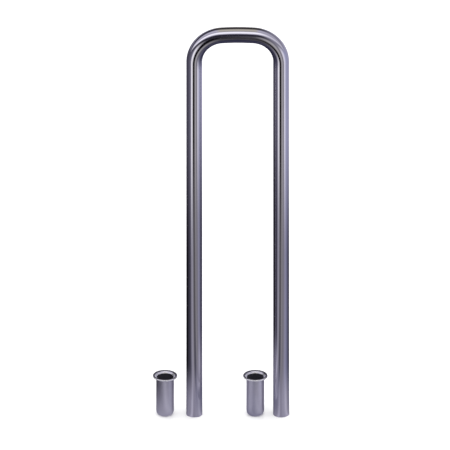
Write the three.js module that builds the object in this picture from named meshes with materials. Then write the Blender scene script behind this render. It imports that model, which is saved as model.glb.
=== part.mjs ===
// Pool handrail: one bent stainless tube, and two loose deck sockets standing beside its legs.
// Millimetres. +Z is up, the legs are spread along X, and everything stands on the floor z = 0.
import * as THREE from 'three';

// Rail tube
const TUBE_R = 21.5;
const TUBE_WALL = 1.5;
const RAIL_HEIGHT = 1148;
const LEG_SPACING = 232;
const BEND_R = 78; // to the tube's centre line
const CROWN_R = 600; // the bar between the bends rises gently to its middle
const BEND_STEPS = 12;
const CROWN_STEPS = 6;

// Plug in the end of each leg
const FIT_GAP = 0.3;
const PLUG_R = TUBE_R - TUBE_WALL - FIT_GAP;
const PLUG_LENGTH = 26;
const PLUG_FLOOR = 4;
const PLUG_SKIRT = 2;
const PLUG_GROOVE = 0.9;
const PLUG_RIB_COUNT = 3;

// Deck socket
const SOCKET_R = 23.75;
const SOCKET_WALL = 1;
const CAP_HEIGHT = 15;
const CAP_CORNER_R = 12;
const SHELL_TOP = 108.5;
const PAD_TOP = 16;
const PAD_GROOVE_R = 11.5;
const PAD_GROOVE_DEPTH = 1.2;
const LINER_BORE_R = 21.75;
const LINER_CHAMFER = 0.3;

// Collar round the socket's mouth
const COLLAR_R = 32.85;
const COLLAR_BEAD_R = 2.6;
const COLLAR_TOP = 116;
const COLLAR_THICKNESS = 1.2;
const COLLAR_DISH_POWER = 1.25;

// Where the sockets stand, from the middle of the rail
const LEFT_SOCKET_X = -194;
const RIGHT_SOCKET_X = 47;

const ROUND_SEGMENTS = 40;

// The origin is under the middle of the whole group.
const LEG_X = LEG_SPACING / 2;
const GROUP_MIN_X = LEFT_SOCKET_X - COLLAR_R;
const GROUP_MAX_X = LEG_X + TUBE_R;
const RAIL_X = -(GROUP_MIN_X + GROUP_MAX_X) / 2;

// Height and profile values that follow from the ones above
const SOCKET_BORE_R = SOCKET_R - SOCKET_WALL;
const INSERT_R = SOCKET_BORE_R - FIT_GAP;
const COLLAR_FOOT = SHELL_TOP + FIT_GAP;
const MOUTH_Z = COLLAR_FOOT + COLLAR_THICKNESS;

// The rail's centre line, in stations: close together round the bends, far apart on the legs.
class RailCentreLine extends THREE.Curve {
  constructor() {
    super();
    this.stations = [];
    const crownHalfAngle = Math.asin((LEG_X - BEND_R) / (CROWN_R - BEND_R));
    const top = RAIL_HEIGHT - TUBE_R;
    const crownCentreZ = top - CROWN_R;
    const bendX = LEG_X - BEND_R;
    const bendZ = crownCentreZ + (CROWN_R - BEND_R) * Math.cos(crownHalfAngle);
    const bendAngle = Math.PI / 2 - crownHalfAngle;

    this.add(-LEG_X, 0, 0);
    for (let i = 0; i <= BEND_STEPS; i++) {
      this.addArc(-bendX, bendZ, BEND_R, (bendAngle * i) / BEND_STEPS);
    }
    for (let i = 1; i < CROWN_STEPS; i++) {
      const turn = bendAngle + (2 * crownHalfAngle * i) / CROWN_STEPS;
      this.addArc(0, crownCentreZ, CROWN_R, turn);
    }
    for (let i = BEND_STEPS; i >= 0; i--) {
      this.addArc(bendX, bendZ, BEND_R, Math.PI - (bendAngle * i) / BEND_STEPS);
    }
    this.add(LEG_X, 0, Math.PI);
  }

  // turn is 0 going up the left leg and PI going down the right one.
  add(x, z, turn) {
    const point = new THREE.Vector3(RAIL_X + x, 0, z);
    const tangent = new THREE.Vector3(Math.sin(turn), 0, Math.cos(turn));
    this.stations.push({ point, tangent });
  }

  addArc(centreX, centreZ, radius, turn) {
    this.add(centreX - radius * Math.cos(turn), centreZ + radius * Math.sin(turn), turn);
  }

  get steps() {
    return this.stations.length - 1;
  }

  getPointAt(u) {
    return this.stations[Math.round(u * this.steps)].point.clone();
  }

  getTangentAt(u) {
    return this.stations[Math.round(u * this.steps)].tangent.clone();
  }
}

const polishedSteel = { color: 0xc9c7cf, metalness: 1, roughness: 0.15 };
const satinSteel = { color: 0xb4b1ba, metalness: 1, roughness: 0.4 };
const blackPlastic = { color: 0x17171a, metalness: 0, roughness: 0.55 };
const blackRubber = { color: 0x1f1f21, metalness: 0, roughness: 0.9 };

function makeMesh(name, geometry, look) {
  const mesh = new THREE.Mesh(geometry, new THREE.MeshStandardMaterial(look));
  mesh.name = name;
  return mesh;
}

// Turns a profile of [radius, height] pairs round the vertical line x = centreX.
function turned(profile, centreX) {
  const points = profile.map(([radius, height]) => new THREE.Vector2(radius, height));
  const geometry = new THREE.LatheGeometry(points, ROUND_SEGMENTS);
  geometry.rotateX(Math.PI / 2);
  geometry.translate(centreX, 0, 0);
  return geometry;
}

// Points on an arc in a profile, from one angle to another in degrees, both ends included.
function arcProfile(centreR, centreZ, radius, fromDeg, toDeg, steps) {
  const points = [];
  for (let i = 0; i <= steps; i++) {
    const angle = THREE.MathUtils.degToRad(fromDeg + ((toDeg - fromDeg) * i) / steps);
    points.push([centreR + radius * Math.cos(angle), centreZ + radius * Math.sin(angle)]);
  }
  return points;
}

function railTube() {
  const ring = new THREE.Shape();
  ring.absarc(0, 0, TUBE_R, 0, 2 * Math.PI, false);
  const bore = new THREE.Path();
  bore.absarc(0, 0, TUBE_R - TUBE_WALL, 0, 2 * Math.PI, true);
  ring.holes.push(bore);
  const centreLine = new RailCentreLine();
  const geometry = new THREE.ExtrudeGeometry(ring, {
    extrudePath: centreLine,
    steps: centreLine.steps,
    curveSegments: ROUND_SEGMENTS / 2, // a full circle gets twice this many
  });
  return makeMesh('rail_tube', geometry, polishedSteel);
}

// A hollow ribbed plug, flush with the end of the leg it is pushed into.
function legPlug(side, legX) {
  const ribPitch = (PLUG_LENGTH - PLUG_FLOOR) / PLUG_RIB_COUNT;
  const profile = [[0, 0], [PLUG_R - 0.6, 0], [PLUG_R, 0.6], [PLUG_R, PLUG_FLOOR]];
  for (let i = 0; i < PLUG_RIB_COUNT; i++) {
    const ribZ = PLUG_FLOOR + ribPitch * i;
    profile.push([PLUG_R - PLUG_GROOVE, ribZ + 0.6]);
    profile.push([PLUG_R - PLUG_GROOVE, ribZ + ribPitch * 0.6]);
    profile.push([PLUG_R, ribZ + ribPitch * 0.7]);
    profile.push([PLUG_R, ribZ + ribPitch]);
  }
  const insideR = PLUG_R - PLUG_GROOVE - PLUG_SKIRT;
  profile.push([insideR, PLUG_LENGTH]);
  profile.push([insideR, PLUG_FLOOR]);
  profile.push([0, PLUG_FLOOR]);
  return makeMesh(`${side}_leg_plug`, turned(profile, legX), blackPlastic);
}

function socketShell(side, x) {
  const foot = CAP_HEIGHT + FIT_GAP;
  const profile = [
    [SOCKET_R, foot],
    [SOCKET_R, SHELL_TOP],
    [SOCKET_BORE_R, SHELL_TOP],
    [SOCKET_BORE_R, foot],
    [SOCKET_R, foot],
  ];
  return makeMesh(`${side}_socket_shell`, turned(profile, x), satinSteel);
}

// A pressed cap that closes the foot of the shell, with a flat bottom and a rounded corner.
function socketBaseCap(side, x) {
  const cornerR = SOCKET_R - CAP_CORNER_R;
  const insideCorner = CAP_CORNER_R - SOCKET_WALL;
  const profile = [
    [0, 0],
    ...arcProfile(cornerR, CAP_CORNER_R, CAP_CORNER_R, -90, 0, 8),
    [SOCKET_R, CAP_HEIGHT],
    [SOCKET_BORE_R, CAP_HEIGHT],
    ...arcProfile(cornerR, CAP_CORNER_R, insideCorner, 0, -90, 8),
    [0, SOCKET_WALL],
  ];
  return makeMesh(`${side}_socket_base_cap`, turned(profile, x), satinSteel);
}

// A dished ring round the mouth, with its outer edge rolled into a bead.
function socketCollar(side, x) {
  const beadX = COLLAR_R - COLLAR_BEAD_R;
  const beadZ = COLLAR_TOP - COLLAR_BEAD_R;
  const bead = arcProfile(beadX, beadZ, COLLAR_BEAD_R, -160, 170, 16);
  const [underEnd, topEnd] = [bead[0], bead[bead.length - 1]];
  const dish = (t, startZ, end) => [
    SOCKET_BORE_R + (end[0] - SOCKET_BORE_R) * t,
    startZ + (end[1] - startZ) * t ** COLLAR_DISH_POWER,
  ];
  const profile = [];
  for (const t of [0, 0.25, 0.5, 0.75]) {
    profile.push(dish(t, COLLAR_FOOT, underEnd));
  }
  profile.push(...bead);
  for (const t of [0.75, 0.5, 0.25, 0]) {
    profile.push(dish(t, MOUTH_Z, topEnd));
  }
  profile.push(profile[0]);
  return makeMesh(`${side}_socket_collar`, turned(profile, x), satinSteel);
}

// A sleeve inside the shell that the leg slides in, standing on the base pad.
function socketLiner(side, x) {
  const foot = PAD_TOP + FIT_GAP;
  const profile = [
    [INSERT_R, foot],
    [INSERT_R, MOUTH_Z],
    [LINER_BORE_R + LINER_CHAMFER, MOUTH_Z],
    [LINER_BORE_R, MOUTH_Z - 2 * LINER_CHAMFER],
    [LINER_BORE_R, foot],
    [INSERT_R, foot],
  ];
  return makeMesh(`${side}_socket_liner`, turned(profile, x), blackPlastic);
}

// A thick pad in the bottom of the socket, with a ring groove in its top.
function socketBasePad(side, x) {
  const cornerR = SOCKET_R - CAP_CORNER_R;
  const padCorner = CAP_CORNER_R - SOCKET_WALL - FIT_GAP;
  const profile = [
    [0, SOCKET_WALL + FIT_GAP],
    ...arcProfile(cornerR, CAP_CORNER_R, padCorner, -90, 0, 6),
    [INSERT_R, PAD_TOP - 0.8],
    [INSERT_R - 0.8, PAD_TOP],
    [PAD_GROOVE_R + 1.5, PAD_TOP],
    [PAD_GROOVE_R + 0.9, PAD_TOP - PAD_GROOVE_DEPTH],
    [PAD_GROOVE_R - 0.9, PAD_TOP - PAD_GROOVE_DEPTH],
    [PAD_GROOVE_R - 1.5, PAD_TOP],
    [0, PAD_TOP],
  ];
  return makeMesh(`${side}_socket_base_pad`, turned(profile, x), blackRubber);
}

function rail() {
  const group = new THREE.Group();
  group.name = 'rail';
  group.add(railTube());
  group.add(legPlug('left', RAIL_X - LEG_X));
  group.add(legPlug('right', RAIL_X + LEG_X));
  return group;
}

function deckSocket(side, x) {
  const group = new THREE.Group();
  group.name = `${side}_socket`;
  group.add(socketShell(side, x));
  group.add(socketBaseCap(side, x));
  group.add(socketCollar(side, x));
  group.add(socketLiner(side, x));
  group.add(socketBasePad(side, x));
  return group;
}

const handrail = new THREE.Group();
handrail.name = 'pool_handrail';
handrail.add(rail());
handrail.add(deckSocket('left', RAIL_X + LEFT_SOCKET_X));
handrail.add(deckSocket('right', RAIL_X + RIGHT_SOCKET_X));

export default handrail;
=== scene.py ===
import math

import bmesh
import bpy
from mathutils import Matrix, Vector


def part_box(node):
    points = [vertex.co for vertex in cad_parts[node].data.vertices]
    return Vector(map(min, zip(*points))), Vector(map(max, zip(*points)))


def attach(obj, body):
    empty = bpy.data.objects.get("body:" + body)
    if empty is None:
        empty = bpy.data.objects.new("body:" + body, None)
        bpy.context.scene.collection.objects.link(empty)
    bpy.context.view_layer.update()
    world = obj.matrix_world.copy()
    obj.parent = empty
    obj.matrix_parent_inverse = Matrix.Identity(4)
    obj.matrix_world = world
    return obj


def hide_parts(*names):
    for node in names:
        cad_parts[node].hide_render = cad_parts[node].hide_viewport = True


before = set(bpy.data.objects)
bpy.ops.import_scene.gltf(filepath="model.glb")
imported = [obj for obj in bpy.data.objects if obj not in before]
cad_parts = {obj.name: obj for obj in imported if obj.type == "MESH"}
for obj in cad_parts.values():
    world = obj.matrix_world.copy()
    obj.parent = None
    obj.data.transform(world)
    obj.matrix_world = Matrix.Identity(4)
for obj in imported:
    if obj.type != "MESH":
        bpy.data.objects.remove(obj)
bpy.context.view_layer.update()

MM = 0.001

# Rail
TUBE_R = 21.5 * MM
TUBE_WALL = 1.5 * MM
BEND_R = 78 * MM
CROWN_R = 600 * MM
BEND_STEPS = 48
CROWN_STEPS = 24
LEG_STEPS = 10
TUBE_SIDES = 96

# Leg plug
FIT_GAP = 0.3 * MM
PLUG_R = TUBE_R - TUBE_WALL - FIT_GAP
PLUG_LENGTH = 26 * MM
PLUG_WALL = 3 * MM
PLUG_FLOOR = 4 * MM
PLUG_EDGE_R = 0.8 * MM
PLUG_RIBS = 4
PLUG_RIB_START = 5 * MM
PLUG_RIB_PITCH = 5 * MM
PLUG_RIB_DEPTH = 0.9 * MM
DIMPLE_R = 6 * MM
DIMPLE_DEPTH = 0.6 * MM

# Deck socket
SOCKET_R = 23.75 * MM
SOCKET_WALL = 1 * MM
SOCKET_BORE_R = SOCKET_R - SOCKET_WALL
SOCKET_EDGE = 0.15 * MM
CAP_HEIGHT = 15 * MM
CAP_CORNER_R = 12 * MM
SHELL_TOP = 108.5 * MM
MOUTH_Z = 110 * MM
COLLAR_R = 32.85 * MM
COLLAR_BEAD_R = 2.6 * MM
COLLAR_TOP = 116 * MM
COLLAR_FOOT = SHELL_TOP + FIT_GAP
DISH_STEPS = 12
DISH_CURVE = 1.25

# Pad and liner inside the socket
PAD_TOP = 16 * MM
PAD_EDGE_R = 0.8 * MM
GROOVE_OUTER_R = 13 * MM
GROOVE_INNER_R = 10 * MM
GROOVE_SLOPE = 0.6 * MM
GROOVE_DEPTH = 1.2 * MM
LINER_R = SOCKET_BORE_R - FIT_GAP
LINER_BORE_R = 21.75 * MM
LINER_LIP_R = 0.35 * MM
LINER_LAND = 3 * MM
LINER_RELIEF = 0.25 * MM
RIB_RING_R = LINER_BORE_R + 0.15 * MM
RIB_FOOT = PAD_TOP + 0.5 * MM
RIB_LENGTH = MOUTH_Z - 4.5 * MM - PAD_TOP

# Welds
COLLAR_WELD_R = SOCKET_R + 0.1 * MM
COLLAR_WELD_Z = SHELL_TOP - 0.4 * MM
BASE_WELD_R = SOCKET_R - 1 * MM
BASE_WELD_SWELL = 1.04 * MM

TURN_SIDES = 128
AXIS_R = 1e-7
MERGE = 1e-6


# ---------------------------------------------------------------- node trees


class Wire:
    """One output in a node tree. Arithmetic on it adds Math nodes to the tree."""

    def __init__(self, graph, output):
        self.graph = graph
        self.output = output

    def __add__(self, other):
        return self.graph.math("ADD", self, other)

    def __sub__(self, other):
        return self.graph.math("SUBTRACT", self, other)

    def __rsub__(self, other):
        return self.graph.math("SUBTRACT", other, self)

    def __mul__(self, other):
        return self.graph.math("MULTIPLY", self, other)

    def __truediv__(self, other):
        return self.graph.math("DIVIDE", self, other)

    def __rtruediv__(self, other):
        return self.graph.math("DIVIDE", other, self)

    def __pow__(self, other):
        return self.graph.math("POWER", self, other)

    def __abs__(self):
        return self.graph.math("ABSOLUTE", self)

    __radd__ = __add__
    __rmul__ = __mul__


class Graph:
    """A node tree that nodes are added to, one call each."""

    def __init__(self, tree):
        self.tree = tree

    def add(self, kind, settings=None, inputs=None, out=0):
        node = self.tree.nodes.new(kind)
        for name, value in (settings or {}).items():
            if name == "stops":
                self.set_stops(node.color_ramp, value)
            else:
                setattr(node, name, value)
        for name, value in (inputs or {}).items():
            self.feed(node.inputs[name], value)
        return Wire(self, node.outputs[out]) if len(node.outputs) else node

    def feed(self, socket, value):
        if isinstance(value, Wire):
            self.tree.links.new(value.output, socket)
        else:
            socket.default_value = value

    def set_stops(self, ramp, stops):
        while len(ramp.elements) < len(stops):
            ramp.elements.new(1)
        for element, (position, colour) in zip(ramp.elements, stops):
            element.position = position
            element.color = (*colour, 1)

    def math(self, operation, *values):
        return self.add("ShaderNodeMath", {"operation": operation}, dict(enumerate(values)))

    def mix(self, factor, a, b, blend="MIX"):
        settings = {"data_type": "RGBA", "blend_type": blend}
        return self.add("ShaderNodeMix", settings, {0: factor, 6: a, 7: b}, out=2)

    def between(self, value, low, high):
        """0 below low and 1 above high, with a smooth step from one to the other."""
        inputs = {"Value": value, "From Min": low, "From Max": high}
        return self.add("ShaderNodeMapRange", {"interpolation_type": "SMOOTHSTEP"}, inputs)

    def noise(self, vector, scale, detail=3, roughness=0.55):
        inputs = {"Vector": vector, "Scale": scale, "Detail": detail, "Roughness": roughness}
        return self.add("ShaderNodeTexNoise", {}, inputs)

    def bump(self, height, strength, distance):
        inputs = {"Strength": strength, "Distance": distance, "Height": height}
        return self.add("ShaderNodeBump", {}, inputs)

    def split(self, vector):
        node = self.tree.nodes.new("ShaderNodeSeparateXYZ")
        self.feed(node.inputs[0], vector)
        return [Wire(self, output) for output in node.outputs]

    def join(self, x, y, z):
        return self.add("ShaderNodeCombineXYZ", {}, {0: x, 1: y, 2: z})

    def object_coords(self):
        return self.add("ShaderNodeTexCoord", out="Object")


def new_object(name, data):
    """A new object that is in the scene."""
    thing = bpy.data.objects.new(name, data)
    bpy.context.scene.collection.objects.link(thing)
    return thing


def blank_material(name):
    """A material with an empty node tree, and the graph to fill it with."""
    material = bpy.data.materials.new(name)
    material.use_nodes = True
    material.node_tree.nodes.clear()
    return material, Graph(material.node_tree)


def new_material(name, shading):
    """A material whose Principled sockets come from shading(graph)."""
    material, graph = blank_material(name)
    surface = graph.add("ShaderNodeBsdfPrincipled", {}, shading(graph))
    graph.add("ShaderNodeOutputMaterial", {}, {"Surface": surface})
    return material


def shaping_tree(name, sizes, build):
    """A Geometry Nodes tree with named size inputs. build(graph, inputs) gives its geometry."""
    tree = bpy.data.node_groups.new(name, "GeometryNodeTree")
    interface = tree.interface
    interface.new_socket("Geometry", in_out="INPUT", socket_type="NodeSocketGeometry")
    for size in sizes:
        kind = "NodeSocketInt" if isinstance(sizes[size], int) else "NodeSocketFloat"
        interface.new_socket(size, in_out="INPUT", socket_type=kind)
    interface.new_socket("Geometry", in_out="OUTPUT", socket_type="NodeSocketGeometry")
    graph = Graph(tree)
    group_in = tree.nodes.new("NodeGroupInput")
    inputs = {output.name: Wire(graph, output) for output in group_in.outputs if output.name}
    graph.add("NodeGroupOutput", {}, {0: build(graph, inputs)})
    return tree


def shaped(name, tree, sizes, start=None):
    """The plain mesh that a Geometry Nodes tree makes with these sizes."""
    holder = new_object(name + "_start", start or bpy.data.meshes.new(name + "_start"))
    modifier = holder.modifiers.new(name, "NODES")
    modifier.node_group = tree
    for item in tree.interface.items_tree:
        if item.item_type == "SOCKET" and item.in_out == "INPUT" and item.name in sizes:
            modifier[item.identifier] = sizes[item.name]
    evaluated = holder.evaluated_get(bpy.context.evaluated_depsgraph_get())
    result = bpy.data.meshes.new_from_object(evaluated)
    result.name = name
    bpy.data.objects.remove(holder)
    return result


# ---------------------------------------------------------------- pieces


def piece(name, mesh, material, body, slot, *nodes, sharp=35):
    """Puts a finished mesh in the scene, riding on its body in place of its CAD nodes."""
    mesh.materials.clear()
    mesh.materials.append(material)
    mesh.shade_smooth()
    mesh.set_sharp_from_angle(angle=math.radians(sharp))
    thing = new_object(name, mesh)
    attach(thing, body)
    if nodes:
        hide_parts(*nodes)
    # The loose sockets don't show as dark spots in the polished legs beside them.
    thing.visible_glossy = body == "rail"


def closed_mesh(name, build):
    """A mesh made by build(bm), with doubles merged and all faces pointing outwards."""
    bm = bmesh.new()
    build(bm)
    bmesh.ops.remove_doubles(bm, verts=bm.verts, dist=MERGE)
    bmesh.ops.recalc_face_normals(bm, faces=bm.faces)
    mesh = bpy.data.meshes.new(name)
    bm.to_mesh(mesh)
    bm.free()
    return mesh


def turned(name, profile, axis_x):
    """Spins a profile of (radius, height) pairs round the vertical line x = axis_x."""

    def build(bm):
        rings = []
        for radius, height in profile:
            if radius < AXIS_R:
                rings.append([bm.verts.new((axis_x, 0, height))])
                continue
            ring = []
            for i in range(TURN_SIDES):
                angle = 2 * math.pi * i / TURN_SIDES
                x, y = radius * math.cos(angle), radius * math.sin(angle)
                ring.append(bm.verts.new((axis_x + x, y, height)))
            rings.append(ring)
        closed = len(rings[0]) > 1
        for lower, upper in zip(rings, rings[1:] + (rings[:1] if closed else [])):
            for i in range(TURN_SIDES):
                j = (i + 1) % TURN_SIDES
                corners = [lower[i % len(lower)], lower[j % len(lower)]]
                corners += [upper[j % len(upper)], upper[i % len(upper)]]
                bm.faces.new(list(dict.fromkeys(corners)))

    return closed_mesh(name, build)


def arc(centre_r, centre_z, radius, start, end, steps):
    """Profile points on an arc between two angles in degrees."""
    points = []
    for i in range(steps + 1):
        angle = math.radians(start + (end - start) * i / steps)
        points.append((centre_r + radius * math.cos(angle), centre_z + radius * math.sin(angle)))
    return points


# ---------------------------------------------------------------- materials

POLISHED_LIGHT = (0.70, 0.68, 0.72, 1)
POLISHED_SHADE = (0.68, 0.66, 0.70, 1)
POLISHED_SCUFF = (0.5, 0.49, 0.52, 1)
# The legs are rubbed dull up to the first height, and not above the second.
RUBBED = 95 * MM, 112 * MM

SATIN_LIGHT = (0.88, 0.86, 0.90, 1)
SATIN_SHADE = (0.80, 0.79, 0.82, 1)
SATIN_LINE = (0.62, 0.61, 0.64, 1)

COLLAR_BRIGHT = (0.84, 0.83, 0.86, 1)
# A dark colour for the painted shade on the collar's rolled bead
COLLAR_PAINTED_SHADE = (0.26, 0.25, 0.28, 1)
COLLAR_LINE = (0.4, 0.4, 0.42, 1)
# Distances from the axis over which the painted shade on the rolled bead comes in, and goes out
PAINTED_SHADE_IN = 26 * MM, 28.2 * MM
PAINTED_SHADE_OUT = 31.4 * MM, 32.3 * MM

WELD_GREY = (0.26, 0.25, 0.28, 1)
WELD_STRAW = (0.20, 0.17, 0.15, 1)
NYLON_BLACK = (0.010, 0.010, 0.012, 1)
NYLON_RUBBED = (0.022, 0.021, 0.025, 1)
RUBBER_BLACK = (0.016, 0.016, 0.016, 1)
RUBBER_DUSTY = (0.05, 0.048, 0.045, 1)
FLOOR_WHITE = (0.95, 0.95, 0.95, 1)


def polished_steel(graph):
    along = graph.add("ShaderNodeAttribute", {"attribute_name": "along"}, out="Fac")
    section = graph.add("ShaderNodeAttribute", {"attribute_name": "section"}, out="Vector")
    side, front, _ = graph.split(section)
    # Polish lines run along the tube, round the bends as well.
    lines = graph.noise(graph.join(side * 30, front * 30, along * 3), 1.0, detail=4)
    clouds = graph.noise(graph.join(side * 0.6, front * 0.6, along * 9), 1.0, detail=2)
    # Rubbing dulls the length that goes in and out of the socket.
    z = graph.split(graph.object_coords())[2]
    rubbed = 1 - graph.between(z, *RUBBED)
    scuffs = graph.noise(graph.join(side * 14, front * 14, along * 60), 1.0, detail=3)
    scuffs = graph.between(scuffs, 0.56, 0.74) * rubbed
    tint = graph.mix(graph.between(clouds, 0.3, 0.7), POLISHED_SHADE, POLISHED_LIGHT)
    return {
        "Base Color": graph.mix(scuffs * 0.25, tint, POLISHED_SCUFF),
        "Metallic": 1.0,
        "Roughness": 0.085 + (lines - 0.5) * 0.05 + clouds * 0.02 + scuffs * 0.1,
        "Normal": graph.bump(lines, strength=0.12, distance=0.2 * MM),
    }


def round_axis(graph, axis_x):
    """x and y from the vertical line x = axis_x, the height, and the distance from the line."""
    x, y, z = graph.split(graph.object_coords())
    x = x - axis_x
    return x, y, z, (x * x + y * y) ** 0.5


def satin_steel_on(axis_x):
    """Satin steel brushed round the vertical line x = axis_x."""

    def shading(graph):
        x, y, z, radius = round_axis(graph, axis_x)
        rings = graph.join(x * 25, y * 25, (z + radius * 0.7) * 1400)
        brushing = graph.noise(rings, 1.0, detail=4, roughness=0.7)
        broad = graph.noise(graph.join(x * 40, y * 40, z * 60), 1.0, detail=2)
        tint = graph.mix(broad, SATIN_SHADE, SATIN_LIGHT)
        return {
            "Base Color": graph.mix(graph.between(brushing, 0.5, 0.75) * 0.3, tint, SATIN_LINE),
            "Metallic": 1.0,
            "Roughness": 0.33 + (brushing - 0.5) * 0.2 + broad * 0.05,
            "Normal": graph.bump(brushing, strength=0.2, distance=0.2 * MM),
        }

    return shading


def collar_steel_painted_shade_on(axis_x):
    """Turned steel on a collar, with painted shade: a dark band painted over the rolled bead, so
    it stays bright round the mouth.
    """

    def shading(graph):
        x, y, z, radius = round_axis(graph, axis_x)
        # Painted shade: darker over the top of the bead, and bright again on its outer side
        painted_bead_shade = graph.between(radius, *PAINTED_SHADE_IN) * (1 - graph.between(radius, *PAINTED_SHADE_OUT))
        turning = graph.join(x * 18, y * 18, (radius + z * 0.5) * 1800)
        lines = graph.noise(turning, 1.0, detail=4, roughness=0.7)
        # The collar's own colour, with the painted shade mixed in over the bead
        tint = graph.mix(painted_bead_shade, COLLAR_BRIGHT, COLLAR_PAINTED_SHADE)
        return {
            "Base Color": graph.mix(graph.between(lines, 0.5, 0.75) * 0.2, tint, COLLAR_LINE),
            "Metallic": 0.8 + painted_bead_shade * 0.2,
            "Roughness": 0.22 + (lines - 0.5) * 0.15,
            "Normal": graph.bump(lines, strength=0.15, distance=0.2 * MM),
        }

    return shading


def weld_steel(graph):
    coords = graph.object_coords()
    heat = graph.noise(coords, 160, detail=2)
    grain = graph.noise(coords, 2500, detail=3)
    return {
        "Base Color": graph.mix(graph.between(heat, 0.35, 0.7), WELD_GREY, WELD_STRAW),
        "Metallic": 1.0,
        "Roughness": 0.3 + grain * 0.15,
        "Normal": graph.bump(grain, strength=0.2, distance=0.1 * MM),
    }


def black_nylon(graph):
    coords = graph.object_coords()
    grain = graph.noise(coords, 3200, detail=3)
    rub = graph.between(graph.noise(coords, 90, detail=4), 0.5, 0.75)
    return {
        "Base Color": graph.mix(rub, NYLON_BLACK, NYLON_RUBBED),
        "Roughness": 0.42 + grain * 0.16 - rub * 0.06,
        "Normal": graph.bump(grain, strength=0.25, distance=0.1 * MM),
    }


def black_rubber(graph):
    coords = graph.object_coords()
    grain = graph.noise(coords, 1800, detail=4, roughness=0.7)
    dust = graph.between(graph.noise(coords, 130, detail=4), 0.5, 0.8)
    return {
        "Base Color": graph.mix(dust * 0.6, RUBBER_BLACK, RUBBER_DUSTY),
        "Roughness": 0.78 + grain * 0.15,
        "Normal": graph.bump(grain, strength=0.4, distance=0.15 * MM),
    }


def white_floor(graph):
    return {"Base Color": FLOOR_WHITE, "Roughness": 0.9}


POLISHED = new_material("polished tube steel", polished_steel)
WELD = new_material("weld bead steel", weld_steel)
NYLON = new_material("black moulded nylon", black_nylon)
RUBBER = new_material("black rubber", black_rubber)


# ---------------------------------------------------------------- shaping trees


def finished(graph, geometry, material):
    """The end of every shaping tree: real geometry, with its material."""
    whole = graph.add("GeometryNodeRealizeInstances", {}, {0: geometry})
    return graph.add("GeometryNodeSetMaterial", {}, {"Geometry": whole, "Material": material})


def ring_of(graph, count, radius, item):
    """The same item, repeated evenly round a circle."""
    circle = {"Resolution": count, "Radius": radius}
    ring = graph.add("GeometryNodeCurvePrimitiveCircle", {}, circle)
    points = graph.add("GeometryNodeCurveToPoints", {"mode": "EVALUATED"}, {0: ring})
    return graph.add("GeometryNodeInstanceOnPoints", {}, {"Points": points, "Instance": item})


# ---------------------------------------------------------------- rail


def rail_path(left_x, right_x, height):
    """The tube's centre line, from the foot of the left leg to the foot of the right one."""
    middle = (left_x + right_x) / 2
    half = (right_x - left_x) / 2
    crown_half = math.asin((half - BEND_R) / (CROWN_R - BEND_R))
    crown_z = height - TUBE_R - CROWN_R
    bend_x = half - BEND_R
    bend_z = crown_z + (CROWN_R - BEND_R) * math.cos(crown_half)
    bend_angle = math.pi / 2 - crown_half
    points = []

    def on_arc(centre_x, centre_z, radius, turn):
        x = middle + centre_x - radius * math.cos(turn)
        points.append((x, 0, centre_z + radius * math.sin(turn)))

    for i in range(LEG_STEPS):
        points.append((left_x, 0, bend_z * i / LEG_STEPS))
    for i in range(BEND_STEPS + 1):
        on_arc(-bend_x, bend_z, BEND_R, bend_angle * i / BEND_STEPS)
    for i in range(1, CROWN_STEPS):
        on_arc(0, crown_z, CROWN_R, bend_angle + 2 * crown_half * i / CROWN_STEPS)
    for i in range(BEND_STEPS, -1, -1):
        on_arc(bend_x, bend_z, BEND_R, math.pi - bend_angle * i / BEND_STEPS)
    for i in range(LEG_STEPS - 1, -1, -1):
        points.append((right_x, 0, bend_z * i / LEG_STEPS))
    return points


def tube_along_path(graph, inputs):
    """Sweeps a round tube wall along the path, and notes where each point is on the tube."""

    def noted(geometry, name, value, kind):
        store = {"data_type": kind, "domain": "POINT"}
        values = {"Geometry": geometry, "Name": name, "Value": value}
        return graph.add("GeometryNodeStoreNamedAttribute", store, values)

    circle = {"Resolution": inputs["Sides"], "Radius": inputs["Radius"]}
    ring = graph.add("GeometryNodeCurvePrimitiveCircle", {}, circle)
    scaled = {0: graph.add("GeometryNodeInputPosition"), "Scale": 1 / inputs["Radius"]}
    unit = graph.add("ShaderNodeVectorMath", {"operation": "SCALE"}, scaled)
    ring = noted(ring, "section", unit, "FLOAT_VECTOR")

    path = graph.add("GeometryNodeMeshToCurve", {}, {0: inputs["Geometry"]})
    length = graph.add("GeometryNodeSplineParameter", out="Length")
    path = noted(path, "along", length, "FLOAT")

    outside = graph.add("GeometryNodeCurveToMesh", {}, {0: path, 1: ring})
    moved = {"Mesh": outside, "Offset Scale": inputs["Wall"] * -1, "Individual": False}
    inside = graph.add("GeometryNodeExtrudeMesh", {"mode": "FACES"}, moved)
    inside = graph.add("GeometryNodeFlipFaces", {}, {0: inside})
    joined = graph.tree.nodes.new("GeometryNodeJoinGeometry")
    graph.feed(joined.inputs[0], outside)
    graph.feed(joined.inputs[0], inside)
    merge = {"Geometry": Wire(graph, joined.outputs[0]), "Distance": MERGE}
    return finished(graph, graph.add("GeometryNodeMergeByDistance", {}, merge), POLISHED)


def make_rail():
    low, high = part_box("rail_tube")
    points = rail_path(low.x + TUBE_R, high.x - TUBE_R, high.z)
    path = bpy.data.meshes.new("rail_path")
    path.from_pydata(points, [(i, i + 1) for i in range(len(points) - 1)], [])
    sizes = {"Radius": TUBE_R, "Wall": TUBE_WALL, "Sides": TUBE_SIDES}
    tree = shaping_tree("bent tube", sizes, tube_along_path)
    mesh = shaped("rail_tube_finish", tree, sizes, path)
    piece("rail_tube_finish", mesh, POLISHED, "rail", "polished_steel", "rail_tube")


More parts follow.
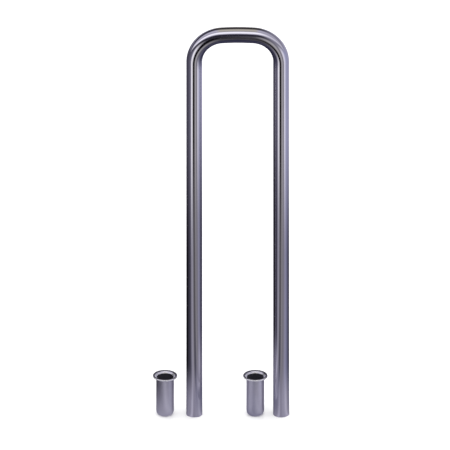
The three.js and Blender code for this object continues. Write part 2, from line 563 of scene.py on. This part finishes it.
def make_plug(side):
    low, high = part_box(f"{side}_leg_plug")
    x = (low.x + high.x) / 2
    profile = [(0, DIMPLE_DEPTH), (DIMPLE_R, DIMPLE_DEPTH), (DIMPLE_R + DIMPLE_DEPTH, 0)]
    profile += arc(PLUG_R - PLUG_EDGE_R, PLUG_EDGE_R, PLUG_EDGE_R, -90, 0, 6)
    groove = PLUG_R - PLUG_RIB_DEPTH
    for i in range(PLUG_RIBS):
        z = PLUG_RIB_START + PLUG_RIB_PITCH * i
        profile += [(PLUG_R, z), (groove, z + 0.5 * MM)]
        profile += [(groove, z + 3 * MM), (PLUG_R, z + 4.4 * MM)]
    inside = PLUG_R - PLUG_WALL
    profile += [(PLUG_R - 0.5 * MM, PLUG_LENGTH), (inside, PLUG_LENGTH)]
    profile += [(inside, PLUG_FLOOR), (0, PLUG_FLOOR)]
    node = f"{side}_leg_plug"
    mesh = turned(node + "_finish", profile, x)
    piece(node + "_finish", mesh, NYLON, "rail", "black_nylon", node)


# ---------------------------------------------------------------- sockets


def shell_profile():
    foot = CAP_HEIGHT + FIT_GAP
    profile = [(SOCKET_R - SOCKET_EDGE, foot), (SOCKET_R, foot + SOCKET_EDGE)]
    return profile + [(SOCKET_R, SHELL_TOP), (SOCKET_BORE_R, SHELL_TOP), (SOCKET_BORE_R, foot)]


def cap_profile():
    corner = SOCKET_R - CAP_CORNER_R
    profile = [(0, 0)] + arc(corner, CAP_CORNER_R, CAP_CORNER_R, -90, 0, 20)
    profile += [(SOCKET_R, CAP_HEIGHT - SOCKET_EDGE), (SOCKET_R - SOCKET_EDGE, CAP_HEIGHT)]
    profile += [(SOCKET_BORE_R, CAP_HEIGHT)]
    profile += arc(corner, CAP_CORNER_R, CAP_CORNER_R - SOCKET_WALL, 0, -90, 20)
    return profile + [(0, SOCKET_WALL)]


def collar_profile():
    bead_x, bead_z = COLLAR_R - COLLAR_BEAD_R, COLLAR_TOP - COLLAR_BEAD_R
    bead = arc(bead_x, bead_z, COLLAR_BEAD_R, -160, 170, 44)

    def dish(t, start_z, end):
        r = SOCKET_BORE_R + (end[0] - SOCKET_BORE_R) * t
        return r, start_z + (end[1] - start_z) * t**DISH_CURVE

    steps = [i / DISH_STEPS for i in range(DISH_STEPS)]
    under = [dish(t, COLLAR_FOOT, bead[0]) for t in steps]
    top = [dish(t, MOUTH_Z, bead[-1]) for t in reversed(steps)]
    return under + bead + top


def liner_profile():
    foot = PAD_TOP + FIT_GAP
    lip_z = MOUTH_Z - LINER_LIP_R
    relief = LINER_BORE_R + LINER_RELIEF
    profile = [(LINER_R, foot)] + arc(LINER_R - LINER_LIP_R, lip_z, LINER_LIP_R, 0, 90, 5)
    profile += arc(LINER_BORE_R + LINER_LIP_R, lip_z, LINER_LIP_R, 90, 180, 5)
    profile += [(LINER_BORE_R, MOUTH_Z - LINER_LAND), (relief, MOUTH_Z - LINER_LAND - 0.4 * MM)]
    return profile + [(relief, foot)]


def pad_profile():
    corner_r = CAP_CORNER_R - SOCKET_WALL - FIT_GAP
    groove_z = PAD_TOP - GROOVE_DEPTH
    profile = [(0, SOCKET_WALL + FIT_GAP)]
    profile += arc(SOCKET_R - CAP_CORNER_R, CAP_CORNER_R, corner_r, -90, 0, 12)
    profile += arc(LINER_R - PAD_EDGE_R, PAD_TOP - PAD_EDGE_R, PAD_EDGE_R, 0, 90, 6)
    profile += [(GROOVE_OUTER_R, PAD_TOP), (GROOVE_OUTER_R - GROOVE_SLOPE, groove_z)]
    profile += [(GROOVE_INNER_R + GROOVE_SLOPE, groove_z), (GROOVE_INNER_R, PAD_TOP)]
    return profile + [(0, PAD_TOP)]


def weld_ripples(graph, inputs):
    """A ring of overlapping weld ripples, each a small ball."""
    ball = {"Segments": 10, "Rings": 6, "Radius": inputs["Ripple radius"]}
    ripple = graph.add("GeometryNodeMeshUVSphere", {}, ball)
    return finished(graph, ring_of(graph, inputs["Ripples"], inputs["Ring radius"], ripple), WELD)


def lengthwise_ribs(graph, inputs):
    """Narrow ribs standing round a bore."""
    rod = {"Vertices": 8, "Radius": inputs["Rib radius"], "Depth": inputs["Rib length"]}
    rib = graph.add("GeometryNodeMeshCylinder", {"fill_type": "NGON"}, rod)
    return finished(graph, ring_of(graph, inputs["Ribs"], inputs["Ring radius"], rib), NYLON)


WELD_SIZES = {"Ripples": 96, "Ring radius": COLLAR_WELD_R, "Ripple radius": 0.9 * MM}
RIB_SIZES = {
    "Ribs": 30,
    "Ring radius": RIB_RING_R,
    "Rib radius": 0.35 * MM,
    "Rib length": RIB_LENGTH,
}
WELD_TREE = shaping_tree("weld ripples", WELD_SIZES, weld_ripples)
RIB_TREE = shaping_tree("liner ribs", RIB_SIZES, lengthwise_ribs)


def make_socket(side):
    body = f"{side}_socket"
    low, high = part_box(f"{side}_socket_shell")
    x = (low.x + high.x) / 2
    satin = new_material(f"satin brushed steel {side}", satin_steel_on(x))
    # The collar's material has painted shade on its rolled bead
    collar_with_painted_shade = new_material(f"turned collar steel {side}", collar_steel_painted_shade_on(x))

    def add(part, profile, material, slot):
        node = f"{body}_{part}"
        mesh = turned(node + "_finish", profile, x)
        piece(node + "_finish", mesh, material, body, slot, node)

    add("shell", shell_profile(), satin, "satin_steel")
    add("base_cap", cap_profile(), satin, "satin_steel")
    add("collar", collar_profile(), collar_with_painted_shade, "satin_steel")
    add("liner", liner_profile(), NYLON, "black_nylon")
    add("base_pad", pad_profile(), RUBBER, "black_rubber")

    ribs = shaped(f"{body}_liner_ribs", RIB_TREE, RIB_SIZES)
    ribs.transform(Matrix.Translation((x, 0, RIB_FOOT + RIB_LENGTH / 2)))
    piece(f"{body}_liner_ribs", ribs, NYLON, body, "black_nylon")

    ripples = shaped(f"{body}_collar_weld", WELD_TREE, WELD_SIZES)
    ripples.transform(Matrix.Translation((x, 0, COLLAR_WELD_Z)))
    piece(f"{body}_collar_weld", ripples, WELD, body, "satin_steel", sharp=60)

    # The weld on the base is dressed down to a low smooth band.
    profile = arc(BASE_WELD_R, CAP_HEIGHT + FIT_GAP / 2, BASE_WELD_SWELL, -90, 90, 16)
    band = turned(f"{body}_base_weld", profile, x)
    piece(f"{body}_base_weld", band, satin, body, "satin_steel")


make_rail()
for side in ("left", "right"):
    make_plug(side)
    make_socket(side)


# ---------------------------------------------------------------- studio

CAMERA_LIFT = math.radians(26)
CAMERA_DISTANCE = 6
CAMERA_AIM = (0.0107, 0, 0.5614)
VIEW_WIDTH = 1.202

STUDIO_LIGHT = 1.5
FLOOR_HALF = 40
TENT_R = 20
TENT_GREY_RIGHT = 150
OVERHEAD_WARMTH = (1, 0.98, 0.70, 1)
GLOW_FLOOR_HALF = 4
STRIP_DARK = (0.05, 0.055, 0.14, 1)
STRIP_STRENGTH = 0.35
CARD_HALF = 0.1
CARD_Z = 1.07
CARD_SLOPE = 0.5
CARD_DARK = (0.025, 0.025, 0.06, 1)
CARD_STRENGTH = 0.85
# Polished steel turns this much light into full white on a screen with this gamma.
FULL_WHITE, GAMMA = 0.70, 2.2

RAIL_LOW, RAIL_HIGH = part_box("rail_tube")
RAIL_X = (RAIL_LOW.x + RAIL_HIGH.x) / 2
LEG_X = (RAIL_HIGH.x - RAIL_LOW.x) / 2 - TUBE_R

# What polished steel mirrors round the rail, as (compass angle, screen grey). 0 is straight
# at the camera and 90 to the right of it. FAR meets the tops of the legs, NEAR their middles
# and FOOT their lowest part.
FAR = [
    (-180, 120), (-150, 90), (-116, 60), (-92, 78), (-74, 88), (-60, 100), (-52, 116),
    (-46, 195), (-40, 238), (-30, 225), (-24, 155), (-18, 16), (-14, 4), (-3, 5), (1, 60),
    (5, 115), (9, 158), (20, 155), (29, 108), (37, 120), (45, 208), (59, 205), (68, 160),
    (82, 148), (102, 142), (129, 155), (160, 160), (180, 120),
]
NEAR = [
    (-180, 125), (-150, 80), (-120, 4), (-112, 2), (-100, 30), (-88, 52), (-70, 58), (-56, 76),
    (-44, 132), (-28, 140), (-14, 88), (0, 76), (12, 128), (32, 112), (48, 122), (62, 136),
    (80, 112), (102, 76), (129, 60), (150, 105), (180, 125),
]
FOOT = [
    (-180, 114), (-150, 108), (-115, 102), (-92, 118), (-73, 131), (-56, 128), (-42, 140),
    (-27, 166), (-18, 158), (-8, 128), (3, 130), (17, 140), (32, 141), (47, 152), (60, 167),
    (74, 158), (90, 130), (101, 122), (127, 110), (180, 114),
]
# What the top bar mirrors, as (angle above the camera's side, screen grey): 90 is overhead.
SKY = [
    (-90, 70), (-12, 58), (6, 72), (14, 40), (27, 38), (34, 62), (40, 120), (47, 205),
    (56, 250), (67, 252), (74, 165), (81, 145), (92, 178), (106, 170), (116, 120), (126, 34),
    (139, 12), (148, 60), (160, 120), (172, 150), (200, 120), (270, 80),
]
# How much blue there is in the light all round, against the rest of the tent
BLUE = [
    (-180, 1), (-60, 1), (-25, 0.92), (-8, 0.8), (6, 0.8), (20, 0.86), (34, 0.87), (46, 0.97),
    (60, 1.08), (82, 1.22), (102, 1.2), (128, 1.05), (180, 1),
]


def tent_grey(level):
    """The tent's colour that steel shows as this screen grey: the darker, the more violet."""
    part = level / 255
    light = part**GAMMA / FULL_WHITE
    return light, light * (0.95 + 0.05 * part), light * (1.46 - 0.41 * part)


def ramp(graph, factor, low, high, stops, colour_of=tent_grey):
    placed = [((angle - low) / (high - low), colour_of(value)) for angle, value in stops]
    return graph.add("ShaderNodeValToRGB", {"stops": placed}, {"Fac": factor})


def all_round(graph, turn, stops, colour_of=tent_grey):
    return ramp(graph, turn, -180, 180, stops, colour_of)


def cooled(graph, turn, colour):
    """The same light, warmer straight ahead and cooler on the right."""

    def tint(blue):
        # Cool light is a little greener as well.
        return 1, 1 + max(blue - 1, 0) * 0.3, blue

    return graph.mix(1.0, colour, all_round(graph, turn, BLUE, tint), "MULTIPLY")


def turn_of(graph, across, ahead):
    """A direction's angle as a share of a full turn."""
    return graph.math("ARCTAN2", across, ahead) / (2 * math.pi)


def tent_light(graph):
    x, y, z = graph.split(graph.object_coords())
    turn = turn_of(graph, x, y * -1) + 0.5
    walls = cooled(graph, turn, all_round(graph, turn, FAR))
    lift = graph.math("FRACT", turn_of(graph, z, y * -1) + 0.25)
    sky = ramp(graph, lift, -90, 270, SKY)
    # A warm patch overhead, and an even grey towards the right
    warm = graph.between(y / TENT_R, -0.32, -0.12) * (1 - graph.between(x * x, 4, 30))
    sky = graph.mix(warm, sky, OVERHEAD_WARMTH, "MULTIPLY")
    right = graph.between(x / TENT_R, 0.15, 0.7) * 0.6
    sky = graph.mix(right, sky, (*tent_grey(TENT_GREY_RIGHT), 1))
    colour = graph.mix(graph.between(z / TENT_R, -0.1, 0.3), walls, sky)
    return graph.add("ShaderNodeEmission", {}, {"Color": colour})


def glow_floor_light(graph):
    x, y, _ = graph.split(graph.object_coords())
    beside = graph.math("MAXIMUM", abs(x) - LEG_X, 0)
    out = (beside * beside + y * y) ** 0.5
    # About the height on a leg that mirrors this spot to the camera
    leg_height = out * math.tan(CAMERA_LIFT)
    turn = turn_of(graph, x, y * -1) + 0.5
    near = cooled(graph, turn, all_round(graph, turn, NEAR))
    # Close to the floor each leg has its own centre for the pattern, so the streaks run down
    # to its foot.
    from_leg = x - graph.math("SIGN", x) * LEG_X
    foot = all_round(graph, turn_of(graph, from_leg, y * -1) + 0.5, FOOT)
    colour = graph.mix(graph.between(leg_height, 0.05, 0.17), foot, near)
    # A dim strip under the bar, which its lower side mirrors
    aside = 1 - graph.between(abs(x), 0.02, 0.14)
    ahead = 1 - graph.between(abs(y), 0.30, 0.75)
    colour = graph.mix(aside * ahead * STRIP_STRENGTH, colour, STRIP_DARK)
    glow = graph.add("ShaderNodeEmission", {}, {"Color": colour})
    clear = graph.add("ShaderNodeBsdfTransparent")
    fade = graph.between(leg_height, 0.45, 0.90)
    return graph.add("ShaderNodeMixShader", {}, {0: fade, 1: glow, 2: clear})


def dark_card_light(graph):
    """Dark in the middle and clear at the edges, so no outline shows in the steel."""
    x, y, _ = graph.split(graph.object_coords())
    across = 1 - graph.between(abs(x), CARD_HALF * 0.5, CARD_HALF)
    deep = 1 - graph.between(abs(y), CARD_HALF * 0.5, CARD_HALF)
    dark = graph.add("ShaderNodeEmission", {}, {"Color": CARD_DARK})
    clear = graph.add("ShaderNodeBsdfTransparent")
    darkness = across * deep * CARD_STRENGTH
    return graph.add("ShaderNodeMixShader", {}, {0: darkness, 1: clear, 2: dark})


def mirrored_stage(name, mesh, shading):
    """A staged glowing surface that only polished surfaces see."""
    material, graph = blank_material(name + " light")
    material.cycles.emission_sampling = "NONE"
    graph.add("ShaderNodeOutputMaterial", {}, {"Surface": shading(graph)})
    mesh.materials.append(material)
    thing = new_object(name, mesh)
    thing.visible_camera = False
    thing.visible_diffuse = False
    thing.visible_shadow = False
    thing.visible_transmission = False
    return thing


def flat_square(name, half):
    mesh = bpy.data.meshes.new(name)
    corners = [(-half, -half, 0), (half, -half, 0), (half, half, 0), (-half, half, 0)]
    mesh.from_pydata(corners, [], [(0, 1, 2, 3)])
    return mesh


def make_tent():
    ball = closed_mesh("light_tent", lambda bm: bmesh.ops.create_uvsphere(
        bm, u_segments=64, v_segments=32, radius=TENT_R))
    mirrored_stage("light_tent", ball, tent_light)
    sheet = flat_square("glow_floor", GLOW_FLOOR_HALF)
    glow_floor = mirrored_stage("glow_floor", sheet, glow_floor_light)
    glow_floor.location = (RAIL_X, 0, -0.5 * MM)


def make_dark_card():
    """The inner sides of the bends mirror it. It hangs under the bar, folded like a roof."""
    folded = bpy.data.meshes.new("dark_card")
    across, deep = (-CARD_HALF, 0, CARD_HALF), (-CARD_HALF, CARD_HALF)
    corners = [(x, y, -abs(x) * CARD_SLOPE) for y in deep for x in across]
    folded.from_pydata(corners, [], [(0, 1, 4, 3), (1, 2, 5, 4)])
    card = mirrored_stage("dark_card", folded, dark_card_light)
    card.location = (RAIL_X, 0, CARD_Z)


def make_floor():
    mesh = flat_square("floor", FLOOR_HALF)
    mesh.materials.append(new_material("white floor", white_floor))
    floor = new_object("floor", mesh)
    floor.visible_glossy = False


def make_world():
    world = bpy.data.worlds.new("white studio")
    world.use_nodes = True
    background = world.node_tree.nodes["Background"]
    background.inputs["Color"].default_value = (1, 1, 1, 1)
    background.inputs["Strength"].default_value = STUDIO_LIGHT
    world.cycles_visibility.glossy = False
    bpy.context.scene.world = world


def make_camera():
    lens = bpy.data.cameras.new("camera")
    lens.type = "ORTHO"
    lens.ortho_scale = VIEW_WIDTH
    lens.clip_end = 100
    camera = new_object("camera", lens)
    back = Vector((0, -math.cos(CAMERA_LIFT), math.sin(CAMERA_LIFT)))
    camera.location = Vector(CAMERA_AIM) + back * CAMERA_DISTANCE
    camera.rotation_euler = (math.pi / 2 - CAMERA_LIFT, 0, 0)
    bpy.context.scene.camera = camera


make_tent()
make_dark_card()
make_floor()
make_world()
make_camera()
bpy.context.scene.view_settings.view_transform = "Standard"
